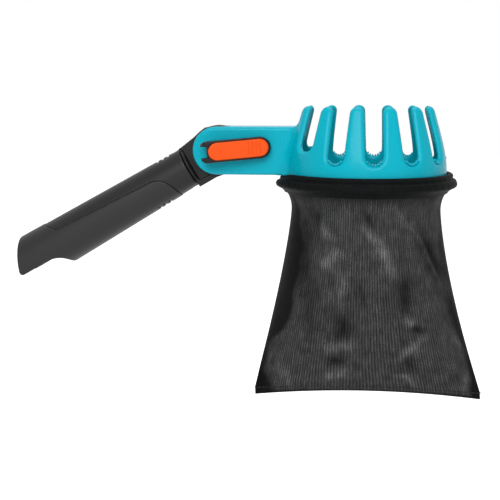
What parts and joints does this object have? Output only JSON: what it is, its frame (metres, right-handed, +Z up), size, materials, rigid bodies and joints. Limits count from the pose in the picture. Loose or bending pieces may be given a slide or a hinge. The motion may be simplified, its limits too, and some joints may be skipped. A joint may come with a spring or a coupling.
{
  "type": "fruit picker head",
  "caption": "Fingered fruit-picking ring with a hanging mesh catch bag, on an arm that tilts on a pole sleeve and is locked by a cam lever.",
  "frame": {"origin": "on the pole's axis in the mouth of the socket's full round bore", "axes": "+Z up, +X level from the pole towards the ring, +Y across, away from the lever's side; the pole's axis climbs 30.2 degrees towards +X"},
  "size_m": [0.3431, 0.1298, 0.217],
  "materials": {
    "sleeve_plastic": "fine moulded texture",
    "grip_soft": "soft matt",
    "joint_plastic": "satin moulded",
    "picker_plastic": "glossy moulded",
    "lever_plastic": "satin moulded",
    "cover_plastic": "semi-gloss moulded",
    "steel": "zinc plated",
    "elastic": "braided cord",
    "hem_cloth": "dense knitted binding",
    "bag_mesh": "warp-knitted mesh",
    "seam_cloth": "double layer, overlocked"
  },
  "bodies": {
    "handle": {"handle_sleeve": "sleeve_plastic", "grip_inlay": "grip_soft", "joint_head": "joint_plastic", "shank_pin": "steel"},
    "head": {"arm": "picker_plastic", "crown_ring": "picker_plastic", "crown_saddle": "picker_plastic", "bag_flange": "picker_plastic", "cam_washer": "steel", "lock_nut": "steel", "finger_01": "picker_plastic", "finger_02": "picker_plastic", "finger_03": "picker_plastic", "finger_04": "picker_plastic", "finger_05": "picker_plastic", "finger_06": "picker_plastic", "finger_07": "picker_plastic", "finger_08": "picker_plastic", "finger_09": "picker_plastic", "finger_10": "picker_plastic", "finger_11": "picker_plastic", "finger_12": "picker_plastic", "hem_elastic": "elastic", "bag_hem": "hem_cloth", "bag_front_panel": "bag_mesh", "bag_back_panel": "bag_mesh", "bag_side_seams": "seam_cloth", "bag_bottom_seam": "seam_cloth"},
    "clamp": {"clamp_bolt": "steel", "lever_pin": "steel"},
    "lever": {"clamp_lever": "lever_plastic", "lever_cover": "cover_plastic"}
  },
  "joints": [
    {"name": "head_tilt", "type": "hinge", "parent": "handle", "child": "head", "pos_m": [0.121, 0, 0.07042], "axis": [0, 1, 0], "range_deg": [-30.2, 59.8]},
    {"name": "clamp_swivel", "type": "hinge", "parent": "head", "child": "clamp", "pos_m": [0.121, 0, 0.07042], "axis": [0, 1, 0], "range_deg": [-180, 180]},
    {"name": "lever_flip", "type": "hinge", "parent": "clamp", "child": "lever", "pos_m": [0.121, -0.0254, 0.07042], "axis": [0.0889, 0, -0.996], "range_deg": [0, 100]}
  ]
}
